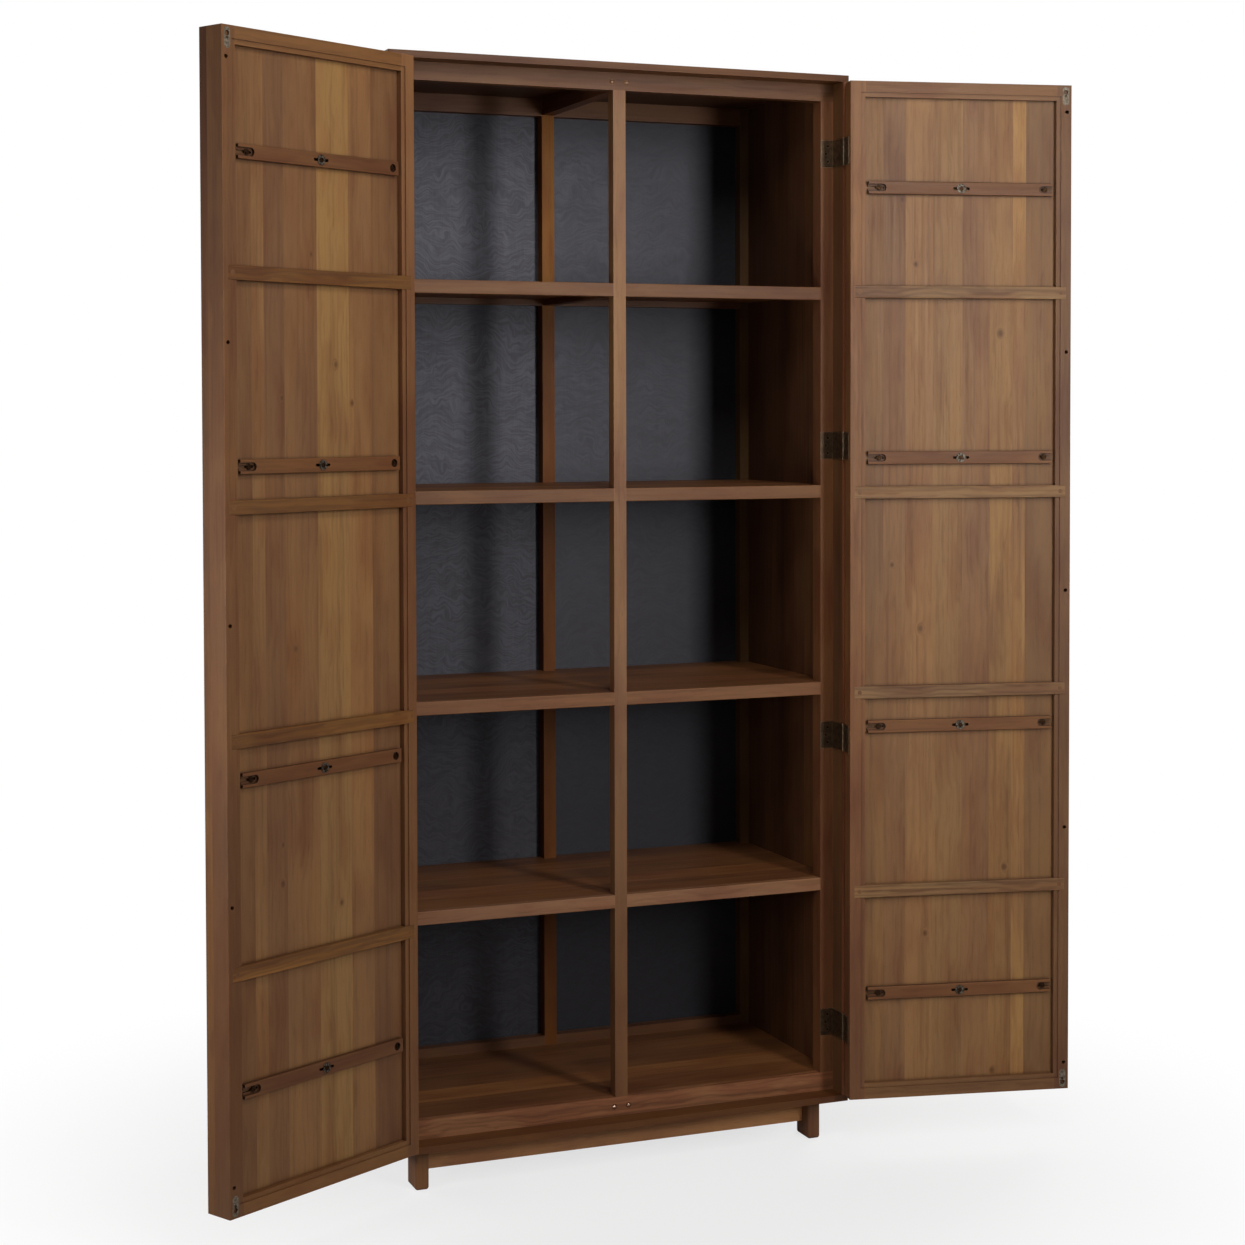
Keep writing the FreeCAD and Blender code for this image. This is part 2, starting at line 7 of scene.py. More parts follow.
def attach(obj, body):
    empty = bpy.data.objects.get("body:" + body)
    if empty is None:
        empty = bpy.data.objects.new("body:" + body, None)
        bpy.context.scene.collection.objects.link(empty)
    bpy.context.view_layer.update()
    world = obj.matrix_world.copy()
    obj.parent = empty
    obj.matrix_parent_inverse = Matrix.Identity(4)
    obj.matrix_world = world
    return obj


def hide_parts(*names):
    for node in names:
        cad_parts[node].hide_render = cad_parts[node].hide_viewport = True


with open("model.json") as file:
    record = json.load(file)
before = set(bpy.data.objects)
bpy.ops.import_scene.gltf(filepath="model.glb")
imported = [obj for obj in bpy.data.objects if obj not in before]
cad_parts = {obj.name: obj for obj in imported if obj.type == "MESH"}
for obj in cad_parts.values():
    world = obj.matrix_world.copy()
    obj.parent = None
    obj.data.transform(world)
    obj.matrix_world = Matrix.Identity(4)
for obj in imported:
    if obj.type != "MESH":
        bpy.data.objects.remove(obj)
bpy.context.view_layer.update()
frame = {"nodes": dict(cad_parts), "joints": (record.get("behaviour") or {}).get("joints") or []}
nodes = frame["nodes"]

# The camera stands to the left of the middle, a little over half the cabinet's
# height, and looks almost level. The lens and shift are those of the photograph.
camera = bpy.data.objects.new("camera", bpy.data.cameras.new("camera"))
bpy.context.scene.collection.objects.link(camera)
bpy.context.scene.camera = camera
camera.location = (-1.5759, -3.9544, 1.3737)
camera.rotation_euler = (math.radians(88.247), math.radians(0.124), math.radians(-21.807))
pixels_across, focal_pixels = 1245, 2305.66
camera.data.sensor_width = 36.0
camera.data.lens = focal_pixels / pixels_across * camera.data.sensor_width
camera.data.shift_x = 0.00095
camera.data.shift_y = -0.11219
camera.data.clip_start = 0.1
camera.data.clip_end = 60.0


# The case is a tall box of thin teak boards, grain up the sides and across the top
# and bottom. Each board is glued from staves and oiled to a satin brown. This
# section has the wood finish that all the teak pieces share.
def stain(red, green, blue):
    """A colour as the eye reads it, 0 to 255, in the shader's own scale."""
    parts = [value / 255 for value in (red, green, blue)]
    return tuple(((p + 0.055) / 1.055) ** 2.4 if p > 0.04045 else p / 12.92 for p in parts) + (1,)


def wire(tree, kind, inputs, **settings):
    """Add one shader node and join or set its inputs."""
    node = tree.nodes.new("ShaderNode" + kind)
    for key, value in settings.items():
        setattr(node, key, value)
    for key, value in inputs.items():
        if isinstance(value, bpy.types.NodeSocket):
            tree.links.new(value, node.inputs[key])
        else:
            node.inputs[key].default_value = value
    return node


def blank(name):
    """A new material with its node tree and its main shader."""
    material = bpy.data.materials.new(name)
    material.use_nodes = True
    return material, material.node_tree, material.node_tree.nodes["Principled BSDF"]


def reckoned(tree, operation, first, second):
    """A number worked out from two others."""
    return wire(tree, "Math", {0: first, 1: second}, operation=operation).outputs[0]


def product(tree, first, second):
    return reckoned(tree, "MULTIPLY", first, second)


def total(tree, first, second):
    return reckoned(tree, "ADD", first, second)


def spread(tree, value, low, high, to_low, to_high, how="LINEAR"):
    """Carry a value over from one range to another."""
    sockets = {"Value": value, "From Min": low, "From Max": high,
               "To Min": to_low, "To Max": to_high}
    return wire(tree, "MapRange", sockets, interpolation_type=how).outputs[0]


def vector(tree, x=0.0, y=0.0, z=0.0):
    return wire(tree, "CombineXYZ", {"X": x, "Y": y, "Z": z}).outputs[0]


def measured(tree, operation, first, second):
    """A number from two vectors, such as their distance."""
    return wire(tree, "VectorMath", {0: first, 1: second}, operation=operation).outputs["Value"]


def stretched(tree, place, across, along):
    scale = (across, across, along)
    return wire(tree, "VectorMath", {0: place, 1: scale}, operation="MULTIPLY").outputs[0]


def shifted(tree, key, reach, place):
    """Move a place by a key value times its reach along each axis."""
    sockets = {0: key, 1: reach, 2: place}
    return wire(tree, "VectorMath", sockets, operation="MULTIPLY_ADD").outputs[0]


def blended(tree, factor, first, second, how="MIX"):
    """Mix two colours. Their sockets share a name, so they go by number."""
    sockets = {0: factor, 6: first, 7: second}
    return wire(tree, "Mix", sockets, data_type="RGBA", blend_type=how).outputs[2]


def steps(tree, value, colours):
    """Bands of plain colour that start at the given shares of the value."""
    ramp = wire(tree, "ValToRGB", {"Fac": value})
    ramp.color_ramp.interpolation = "CONSTANT"
    bands = ramp.color_ramp.elements
    bands[0].position, bands[0].color = colours[0]
    bands.remove(bands[1])
    for start, colour in colours[1:]:
        bands.new(start).color = colour
    return ramp.outputs[0]


def squareness(tree, radius, samples):
    """1 on a flat face, and less within the radius of an edge."""
    rounded = wire(tree, "Bevel", {"Radius": radius}, samples=samples).outputs[0]
    face = wire(tree, "NewGeometry", {}).outputs["Normal"]
    return measured(tree, "DOT_PRODUCT", rounded, face)


def embossed(tree, finish, height, strength, depth):
    """Give a finish the fine relief of its grain or scratches."""
    bump = wire(tree, "Bump", {"Strength": strength, "Distance": depth, "Height": height})
    tree.links.new(bump.outputs[0], finish.inputs["Normal"])


def board_place(tree, grain, turn=None):
    """Where a point lies in its board: across, through and along the grain."""
    place = wire(tree, "TexCoord", {}).outputs["Object"]
    if turn:
        angle, pivot = turn
        cosine, sine = math.cos(-angle), math.sin(-angle)
        shift = (sine * pivot[1] - cosine * pivot[0], -sine * pivot[0] - cosine * pivot[1], 0)
        turned = {"Vector": place, "Location": shift, "Rotation": (0, 0, -angle)}
        place = wire(tree, "Mapping", turned).outputs[0]
    axes = wire(tree, "SeparateXYZ", {"Vector": place}).outputs
    return [axes[letter] for letter in grain]


def teak(name, grain, light, dark, seed, turn=None, staves=(), each=None, heart=(0.02, 0.07),
         knots=(), figure=1.0, painted_height_light=None, painted_shade=None):
    """Oiled teak. Grain names the axes across, through and along the board.
    Staves are (start, colour) across it, each is (axis, first, pitch) where like
    pieces share a node, heart is where the rings of the log are centred, knots are
    (across, along, size), and painted_height_light is (along, along, colour) for
    painted light and shade that change the board's tone towards its lower end.
    painted_shade is (how dark, how far) for painted shade that darkens seams and pockets."""
    material, tree, finish = blank(name)
    across, through, along = board_place(tree, grain, turn)
    place = vector(tree, across, through, along)
    tone = light
    if staves:  # each stave has its own place in the log
        last_width = 0.2
        low, high = staves[0][0], staves[-1][0] + last_width
        share = spread(tree, across, low, high, 0, 1)
        bands = [((start - low) / (high - low), colour) for start, colour in staves]
        tone = steps(tree, share, bands)
        key = wire(tree, "TexWhiteNoise", {"Vector": tone}, noise_dimensions="3D").outputs["Color"]
        place = shifted(tree, key, (0.11, 0.05, 3.0), place)
    if each:  # each board has its own tone and its own place in the log
        axis, first, pitch = each
        value = {"across": across, "through": through, "along": along}[axis]
        share = spread(tree, value, first, first + pitch, 0.5, 1.5)
        number = wire(tree, "Math", {0: share}, operation="FLOOR").outputs[0]
        lot = {"W": total(tree, number, seed)}
        key = wire(tree, "TexWhiteNoise", lot, noise_dimensions="1D").outputs
        tone = blended(tree, spread(tree, key["Value"], 0, 1, 0, 0.35), light, dark)
        back = [-pitch if way == axis else 0 for way in ("across", "through", "along")]
        place = shifted(tree, number, back, place)
        place = shifted(tree, key["Color"], (0.1, 0.04, 2.0), place)
    # Painted light and shade: the tone changes towards the board's lower end.
    if painted_height_light:
        start, end, colour = painted_height_light
        tone = blended(tree, spread(tree, along, start, end, 1, 0), tone, colour)
    marks = None
    for left, up, size in knots:
        squat = 0.75
        flat = stretched(tree, vector(tree, across, 0, along), 1, squat)
        reach = measured(tree, "DISTANCE", flat, (left, 0, up * squat))
        near = spread(tree, reach, 0.0, size, 1.0, 0.0, "SMOOTHERSTEP")
        marks = total(tree, marks, near) if marks else near
    if marks:  # the grain bends round each knot
        place = shifted(tree, vector(tree, marks, marks), (0.03, 0.02, 0), place)

    def noise(across_scale, along_scale, number):
        """Noise with so many waves in a metre across the board and along it."""
        spot = stretched(tree, place, across_scale, along_scale)
        sockets = {"Vector": spot, "W": seed + number, "Scale": 1.0, "Detail": 2.5,
                   "Roughness": 0.6}
        return wire(tree, "TexNoise", sockets, noise_dimensions="4D").outputs[0]

    fibre = noise(330, 5, 0)
    streak = noise(85, 1.6, 3)
    cloud = noise(19, 6, 7)
    pores = noise(1300, 45, 9)
    wash = noise(6, 1.7, 11)
    swell = shifted(tree, vector(tree, cloud, streak), (0.06, 0.02, 0), place)
    log = {"Vector": swell, "Location": (-heart[0], heart[1], seed * 0.37),
           "Rotation": (0.16, 0.09, 0), "Scale": (1, 1, 0.07)}
    growth = {"Vector": wire(tree, "Mapping", log).outputs[0], "Scale": 27, "Distortion": 7.0,
              "Detail": 3, "Detail Scale": 0.8, "Detail Roughness": 0.65}
    rings = wire(tree, "TexWave", growth, wave_type="RINGS", rings_direction="Z").outputs["Fac"]
    late = spread(tree, rings, 0.3, 1.0, -0.04, 0.12 * figure)
    lines = spread(tree, fibre, 0.35, 0.70, -0.10, 0.16)
    bands = spread(tree, streak, 0.32, 0.68, -0.18, 0.24 * figure)
    shade = total(tree, total(tree, late, lines), bands)
    colour = blended(tree, shade, tone, dark)
    ruddy_tint = (0.80, 0.69, 0.68, 1)
    ruddy = spread(tree, cloud, 0.44, 0.68, 0.0, figure)
    colour = blended(tree, ruddy, colour, ruddy_tint, "MULTIPLY")
    dull_tint, golden_tint = (0.92, 0.91, 0.93, 1), (1.23, 1.24, 1.08, 1)
    golden = blended(tree, spread(tree, wash, 0.36, 0.66, 0, 1), dull_tint, golden_tint)
    colour = blended(tree, 1.0, colour, golden, "MULTIPLY")
    pore_brown, knot_brown, shade_brown = stain(58, 36, 20), stain(66, 38, 18), stain(36, 18, 7)
    pits = spread(tree, pores, 0.58, 0.70, 0.0, 0.35)
    colour = blended(tree, pits, colour, pore_brown)
    if marks:
        core = reckoned(tree, "POWER", marks, 2.0)
        colour = blended(tree, product(tree, core, 0.6), colour, knot_brown)
    # Edges are paler: partly rubbing wear, partly a painted highlight where they catch the light.
    edge_width, wear_highlight_tint = 0.0022, (1.55, 1.5, 1.45, 1)
    edges = spread(tree, squareness(tree, edge_width, samples=2), 0.98, 0.80, 0.0, 0.7)
    wear_highlight_mask = product(tree, edges, spread(tree, cloud, 0.35, 0.6, 0.25, 1.0))
    wear_highlit_colour = blended(tree, 1.0, colour, wear_highlight_tint, "MULTIPLY")
    colour = blended(tree, wear_highlight_mask, colour, wear_highlit_colour)
    # Painted shade: ambient occlusion darkens seams and pockets towards a dark brown.
    if painted_shade:
        darkest, reach = painted_shade
        open_air = wire(tree, "AmbientOcclusion", {"Distance": reach}, samples=3).outputs["AO"]
        colour = blended(tree, spread(tree, open_air, 0.35, 0.92, darkest, 0.0), colour, shade_brown)
    tree.links.new(colour, finish.inputs["Base Color"])
    tree.links.new(spread(tree, fibre, 0.3, 0.7, 0.45, 0.58), finish.inputs["Roughness"])
    relief = total(tree, product(tree, fibre, 0.6), product(tree, pits, -0.8))
    embossed(tree, finish, relief, strength=0.18, depth=0.0004)
    finish.inputs["Specular IOR Level"].default_value = 0.35
    return material


def finished(node, material):
    """Give a CAD piece its finish."""
    nodes[node].data.materials.clear()
    nodes[node].data.materials.append(material)


# The staves darken towards the back of the case: painted shade for its inside. The top and bottom
# boards share them.
side_staves_shaded_back = [(-0.11, stain(127, 79, 52)), (-0.098, stain(104, 70, 43)),
               (-0.03, stain(110, 73, 44)), (0.06, stain(97, 63, 39)),
               (0.15, stain(92, 60, 37)), (0.24, stain(82, 52, 31))]
case_side = teak("case_side_teak", "YXZ", stain(104, 65, 37), stain(61, 34, 18), seed=1.0,
                 staves=side_staves_shaded_back)
flat_staves = [(-0.11, stain(100, 60, 27))] + side_staves_shaded_back[2:]
case_flat = teak("case_flat_teak", "YZX", stain(128, 82, 49), stain(80, 46, 25), seed=2.0,
                 staves=flat_staves)
finished("case_left_side", case_side)
finished("case_right_side", case_side)
finished("case_top", case_flat)
finished("case_bottom", case_flat)

# The base is four short square feet with eased edges and two aprons tenoned
# between them. It is the same oiled teak, and the aprons' paler tone is painted
# light that makes up for the shade under the case.
feet = teak("feet_teak", "XYZ", stain(120, 80, 51), stain(79, 49, 31), seed=3.0,
            each=("across", -1.0, 0.5))
aprons = teak("apron_painted_light_teak", "ZYX", stain(198, 140, 93), stain(134, 90, 58), seed=4.0)
finished("base_feet", feet)
finished("base_aprons", aprons)

# The face frame stands behind the doors: two rails run from side to side and
# three uprights between them. The uprights are straight grained, and their tones
# change up their length as painted light and shade. The bottom rail shows a bold figure.
# The top rail's darker tone is painted shade from the case top above it.
shaded_top_rail = teak("face_rail_teak", "ZYX", stain(114, 74, 43), stain(74, 44, 25), seed=5.0)
low_rail = teak("face_low_rail_teak", "ZYX", stain(154, 104, 72), stain(98, 62, 41), seed=5.5,
                heart=(0.03, 0.02), figure=2.2)
left_stile = teak("face_left_stile_teak", "XYZ", stain(106, 80, 68), stain(72, 45, 31), seed=6.0,
                  painted_height_light=(0.7, 1.15, stain(112, 77, 58)))
right_stile = teak("face_right_stile_teak", "XYZ", stain(130, 84, 54), stain(86, 51, 30), seed=6.5,
                   painted_height_light=(1.35, 1.65, stain(124, 79, 48)))
centre_stile = teak("centre_stile_teak", "XYZ", stain(148, 106, 70), stain(104, 70, 44), seed=7.0,
                    painted_height_light=(0.35, 0.95, stain(116, 78, 50)))
finished("face_bottom_rail", low_rail)
finished("face_top_rail", shaded_top_rail)
finished("face_left_stile", left_stile)
finished("face_right_stile", right_stile)
finished("face_centre_stile", centre_stile)

# Four shelves and a deck, each a glued board let into a front strip and a back
# rail, with a bearer under the middle. The strips show eased front edges.
shelf_staves = [(-0.04, stain(125, 80, 46)), (0.04, stain(140, 91, 54)), (0.11, stain(118, 76, 44)),
                (0.19, stain(135, 87, 51)), (0.27, stain(125, 81, 48))]
shelf_teak = teak("shelf_teak", "YZX", stain(133, 85, 50), stain(81, 47, 26), seed=8.0,
                  staves=shelf_staves)
strip_staves = [(0.3, stain(148, 104, 74)), (0.66, stain(128, 85, 55)), (1.04, stain(122, 81, 49)),
                (1.4, stain(121, 80, 47))]
strip_teak = teak("strip_teak", "ZYX", stain(135, 90, 55), stain(90, 55, 32), seed=9.0,
                  staves=strip_staves)
back_rail_teak = teak("shelf_rail_teak", "ZYX", stain(121, 79, 49), stain(76, 45, 27), seed=10.0,
                      each=("across", 0.3, 0.363))
bearer_teak = teak("bearer_teak", "XZY", stain(121, 77, 47), stain(76, 45, 27), seed=11.0)
for name in ("deck_board", "shelf_1", "shelf_2", "shelf_3", "shelf_4"):
    finished(name, shelf_teak)
finished("shelf_front_strips", strip_teak)
finished("shelf_back_rails", back_rail_teak)
finished("centre_bearers", bearer_teak)

# The back frame has two corner posts, a centre post and top and bottom rails, all
# of teak. The rails are fitted between the posts, flush with them. The centre post's
# golden top and browner lower part are painted light and shade, and the corner
# posts' darker tone is painted shade.
post_teak = teak("back_post_teak", "XYZ", stain(164, 107, 45), stain(110, 68, 30), seed=12.0,
                 each=("across", -0.7, 0.4), painted_height_light=(1.50, 1.62, stain(120, 72, 33)))
post_teak.node_tree.nodes["Principled BSDF"].inputs["Specular IOR Level"].default_value = 0.15
shaded_corner_teak = teak("corner_post_teak", "XYZ", stain(96, 68, 40), stain(60, 40, 24), seed=12.5)
finished("back_corner_posts", shaded_corner_teak)
finished("back_centre_post", post_teak)
finished("back_top_rails", back_rail_teak)
finished("back_bottom_rails", back_rail_teak)


# Two plywood panels are fixed behind the frame and close the back. They are
# stained charcoal and lacquered, so the flame grain shows mostly in the sheen.
def charcoal_ply():
    """The left sheet is painted paler than the right as painted sheen, and the sheen has a cool
    tint.
    """
    material, tree, finish = blank("charcoal_ply")
    across, through, along = board_place(tree, "XYZ")
    place = vector(tree, across, through, along)
    noise = {"Detail": 3, "Roughness": 0.6, "Scale": 1.0}
    swirl = wire(tree, "TexNoise", {"Vector": stretched(tree, place, 9, 6), **noise}).outputs[0]
    fibre = wire(tree, "TexNoise", {"Vector": stretched(tree, place, 520, 30), **noise}).outputs[0]
    bent = shifted(tree, vector(tree, swirl, 0, swirl), (0.05, 0, 0.16), place)
    ripple = {"Vector": stretched(tree, bent, 34, 330), "Scale": 1.0, "Detail": 2,
              "Distortion": 0.6}
    flame = spread(tree, wire(tree, "TexNoise", ripple).outputs[0], 0.36, 0.62, 0, 1)
    shade = total(tree, product(tree, flame, 0.5), product(tree, fibre, 0.6))
    # The left sheet's paler tone is painted sheen.
    sheet_tones_with_sheen = [(0.0, stain(60, 59, 66)), (0.5, stain(34, 34, 39))]
    sheets = steps(tree, spread(tree, across, -0.5, 0.5, 0, 1), sheet_tones_with_sheen)
    colour = blended(tree, shade, sheets, stain(20, 20, 22))
    tree.links.new(colour, finish.inputs["Base Color"])
    tree.links.new(spread(tree, shade, 0.2, 0.9, 0.45, 0.53), finish.inputs["Roughness"])
    embossed(tree, finish, shade, strength=0.10, depth=0.0004)
    finish.inputs["Specular IOR Level"].default_value = 0.68
    finish.inputs["Specular Tint"].default_value = (0.92, 0.90, 1.0, 1)
    return material


finished("back_panels", charcoal_ply())


# Each catch is a turned brass cup with a sprung steel ball, let into the rails
# either side of the centre stile. The doors' oval strike plates are paler brass.
def worn_metal(name, light, dark, roughness, scale, middle=None, bend_wear_highlight=None):
    """Metal with a cloudy tarnish and fine scratches from rubbing. Middle is the
    (door turn, colour) of the washers over the middle slots of the battens, and
    bend_wear_highlight is the paler colour on bends and edges: partly rubbing wear,
    partly a painted highlight."""
    material, tree, finish = blank(name)
    place = wire(tree, "TexCoord", {}).outputs["Object"]
    if middle:
        turn, pale = middle
        across = board_place(tree, "XYZ", turn)[0]
        half_metre = spread(tree, across, 0, 0.5, 0, 1)
        light = steps(tree, half_metre, [(0.0, light), (0.38, pale), (0.48, light)])
    cloud = wire(tree, "TexNoise", {"Vector": place, "Scale": scale, "Detail": 4}).outputs[0]
    scratch = {"Vector": stretched(tree, place, 900, 4000), "Scale": 1, "Detail": 2}
    rubs = wire(tree, "TexNoise", scratch).outputs[0]
    colour = blended(tree, spread(tree, cloud, 0.35, 0.65, 0, 1), light, dark)
    # Bends and edges are paler: rubbing wear and a painted highlight.
    if bend_wear_highlight:
        edge_width = 0.0012
        edges = spread(tree, squareness(tree, edge_width, samples=4), 0.98, 0.8, 0, 0.8)
        colour = blended(tree, edges, colour, bend_wear_highlight)
    tree.links.new(colour, finish.inputs["Base Color"])
    rough = spread(tree, total(tree, cloud, rubs), 0.7, 1.3, roughness - 0.1, roughness + 0.12)
    tree.links.new(rough, finish.inputs["Roughness"])
    embossed(tree, finish, rubs, strength=0.08, depth=0.0002)
    finish.inputs["Metallic"].default_value = 1.0
    return material


cup_brass = worn_metal("dark_cup_brass", stain(116, 82, 58), stain(86, 60, 42),
                       roughness=0.55, scale=260)
ball_steel = worn_metal("polished_ball", stain(250, 216, 190), stain(228, 190, 158),
                        roughness=0.32, scale=260)
finished("catch_cups", cup_brass)
for name in ("lower_left", "lower_right", "upper_left", "upper_right"):
    finished("catch_ball_" + name, ball_steel)

# The cranked butt hinges are pressed from steel with an aged bronze finish. It is
# paler along the bends and edges, partly from rubbing wear and partly as a painted
# highlight. The screws in them are darker.
bronze = worn_metal("aged_bronze", stain(130, 108, 85), stain(98, 81, 66),
                    roughness=0.44, scale=110, bend_wear_highlight=stain(214, 192, 158))
screw_steel = worn_metal("dark_screw_steel", stain(82, 58, 40), stain(48, 32, 22),
                         roughness=0.52, scale=500)
finished("case_hinge_leaves", bronze)
finished("hinge_pins", bronze)
finished("case_hinge_screws", screw_steel)

# The doors are frame and panel, swung open on their hinges. Stiles and rails are
# straight grained, and the panels are glued from staves of mixed tone.
hinges = {joint["name"]: joint.get("pos_m") for joint in frame["joints"]}
turns = {
    "left": (math.radians(-151.2), hinges["left_door_hinge"]),
    "right": (math.radians(-12.0), hinges["right_door_hinge"]),
}
panel_staves = {
    "left": [(0.0, stain(129, 90, 58)), (0.094, stain(146, 104, 66)), (0.145, stain(156, 116, 71)),
             (0.2175, stain(137, 97, 63)), (0.29, stain(130, 91, 60)), (0.333, stain(142, 102, 65)),
             (0.36, stain(127, 89, 57))],
    "right": [(0.0, stain(136, 97, 62)), (0.066, stain(137, 98, 65)), (0.110, stain(151, 109, 70)),
              (0.1625, stain(146, 107, 69)), (0.220, stain(141, 101, 67)),
              (0.2735, stain(152, 111, 68)), (0.318, stain(162, 119, 73)),
              (0.344, stain(133, 96, 62))],
}
panel_knots = {
    "left": [(0.177, 1.454, 0.010), (0.140, 1.390, 0.008), (0.297, 1.398, 0.008),
             (0.231, 1.634, 0.006), (0.270, 0.988, 0.009), (0.300, 0.670, 0.007),
             (0.301, 0.606, 0.010), (0.170, 0.554, 0.009)],
    "right": [(0.104, 1.768, 0.009), (0.130, 1.648, 0.009), (0.295, 1.520, 0.013),
              (0.085, 1.088, 0.009), (0.140, 0.968, 0.013), (0.305, 0.514, 0.011),
              (0.150, 0.394, 0.010), (0.282, 0.128, 0.010)],
}
frame_tones = {
    "left": {"low_rail": stain(132, 90, 53), "top_rail": stain(130, 88, 52),
             "hinge": stain(150, 104, 66), "free": stain(128, 86, 52),
             "cross": stain(143, 96, 47)},
    "right": {"low_rail": stain(134, 94, 59), "top_rail": stain(130, 90, 59),
              "hinge": stain(144, 98, 60), "free": stain(122, 85, 57),
              "cross": stain(152, 115, 76)},
}
# The stiles' tones change up their height: painted light and shade.
painted_height_lights = {
    "left": {"hinge": (1.35, 1.75, stain(120, 80, 52)), "free": (0.7, 0.9, stain(111, 73, 46))},
    "right": {"hinge": (0.72, 0.98, stain(126, 83, 54)), "free": None},
}
# Painted shade for the seams of the doors and the pockets in the battens.
seams, pockets = (0.6, 0.005), (0.9, 0.012)
plate_brass = worn_metal("dull_plate_brass", stain(160, 148, 132), stain(122, 111, 94),
                         roughness=0.66, scale=260)
for side, turn in turns.items():
    door = side + "_door_"
    angle = turn[0]
    tones = frame_tones[side]
    low_tone, dark = tones["low_rail"], stain(88, 56, 34)
    hinge_stile = teak(door + "hinge_stile_teak", "XYZ", tones["hinge"], dark, seed=13.0 + angle,
                       turn=turn, painted_height_light=painted_height_lights[side]["hinge"], painted_shade=seams)
    free_stile = teak(door + "free_stile_teak", "XYZ", tones["free"], dark, seed=14.0 + angle,
                      turn=turn, painted_height_light=painted_height_lights[side]["free"], painted_shade=seams)
    rail_staves = [(0.0, low_tone), (1.0, tones["top_rail"])]
    rail = teak(door + "rail_teak", "ZYX", low_tone, dark, seed=15.0 + angle, turn=turn,
                staves=rail_staves, painted_shade=seams)
    panel = teak(door + "panel_teak", "XYZ", low_tone, stain(92, 60, 38), seed=17.0 + angle,
                 turn=turn, staves=panel_staves[side], knots=panel_knots[side], painted_shade=seams)
    cross = teak(door + "cross_teak", "ZYX", tones["cross"], dark, seed=19.0 + angle, turn=turn,
                 each=("across", 0.3, 0.363), heart=(0.38, 0.03), figure=2.0, painted_shade=seams)
    batten = teak(door + "batten_teak", "ZYX", stain(132, 86, 51), stain(82, 50, 29),
                  seed=21.0 + angle, turn=turn, each=("across", 0.05, 0.45), painted_shade=pockets)
    end_grain = teak(door + "plug_teak", "XZY", stain(122, 83, 52), stain(94, 61, 38),
                     seed=23.0 + angle, turn=turn)
    # The pull strip's tone changes up its height: painted light and shade.
    pull = teak(door + "pull_teak", "XYZ", stain(98, 57, 31), stain(66, 36, 19),
                seed=25.0 + angle, turn=turn, painted_height_light=(1.0, 1.9, stain(124, 82, 46)))
    washer_steel = worn_metal(door + "washer_steel", stain(84, 62, 44), stain(50, 35, 24),
                              roughness=0.56, scale=300, middle=(turn, stain(134, 126, 114)))
    finished(door + "hinge_stile", hinge_stile)
    finished(door + "free_stile", free_stile)
    finished(door + "pull_strip", pull)
    finished(door + "bottom_rail", rail)
    finished(door + "top_rail", rail)
    finished(door + "panel", panel)
    finished(door + "cross_rails", cross)
    finished(door + "cross_rail_plugs", end_grain)
    finished(door + "battens", batten)
    finished(door + "batten_washers", washer_steel)
    finished(door + "batten_screws", screw_steel)
    finished(door + "hinge_screws", screw_steel)
    finished(door + "strike_plates", plate_brass)
    finished(door + "hinge_leaves", bronze)


# The screws are dark steel with a cross recess: pan heads over the washers of the
# battens, flush heads in the hinge leaves and a small one through each strike plate.
def cross_screw(head, rise, shank, length):
    """A screw that points down, with the top of its head at the origin."""
    tip_inset, tip_length = shank * 0.6, shank * 1.5
    crown, recess_depth = rise * 0.4, rise * 1.2
    slot_length, slot_width = head * 1.3, head * 0.24
    middle, level = (0, 0, -rise / 2), 0.9
    bpy.ops.object.select_all(action="DESELECT")
    bpy.ops.mesh.primitive_cylinder_add(vertices=24, radius=head, depth=rise, location=middle)
    screw = bpy.context.object
    bpy.ops.object.transform_apply()
    bpy.ops.object.mode_set(mode="EDIT")
    bpy.ops.mesh.select_all(action="DESELECT")
    bpy.ops.object.mode_set(mode="OBJECT")
    for face in screw.data.polygons:
        face.select = face.normal.z < -level
    bpy.ops.object.mode_set(mode="EDIT")
    bpy.ops.mesh.inset(thickness=head - shank)
    bpy.ops.mesh.extrude_region_move(TRANSFORM_OT_translate={"value": (0, 0, -length)})
    bpy.ops.mesh.inset(thickness=tip_inset)
    bpy.ops.transform.translate(value=(0, 0, -tip_length))
    bpy.ops.mesh.select_all(action="DESELECT")
    bpy.ops.object.mode_set(mode="OBJECT")
    for face in screw.data.polygons:
        face.select = face.normal.z > level and face.center.z > -rise / 4
    bpy.ops.object.mode_set(mode="EDIT")
    bpy.ops.mesh.bevel(offset=crown, segments=3)
    bpy.ops.object.mode_set(mode="OBJECT")
    for width, depth in ((slot_length, slot_width), (slot_width, slot_length)):
        bpy.ops.object.select_all(action="DESELECT")
        bpy.ops.mesh.primitive_cube_add(size=1)
        cutter = bpy.context.object
        cutter.scale = (width, depth, recess_depth)
        bpy.ops.object.transform_apply()
        recess = screw.modifiers.new("recess", "BOOLEAN")
        recess.object = cutter
        bpy.context.view_layer.objects.active = screw
        bpy.ops.object.modifier_apply(modifier="recess")
        bpy.data.objects.remove(cutter)
    screw.data.materials.append(screw_steel)
    return screw


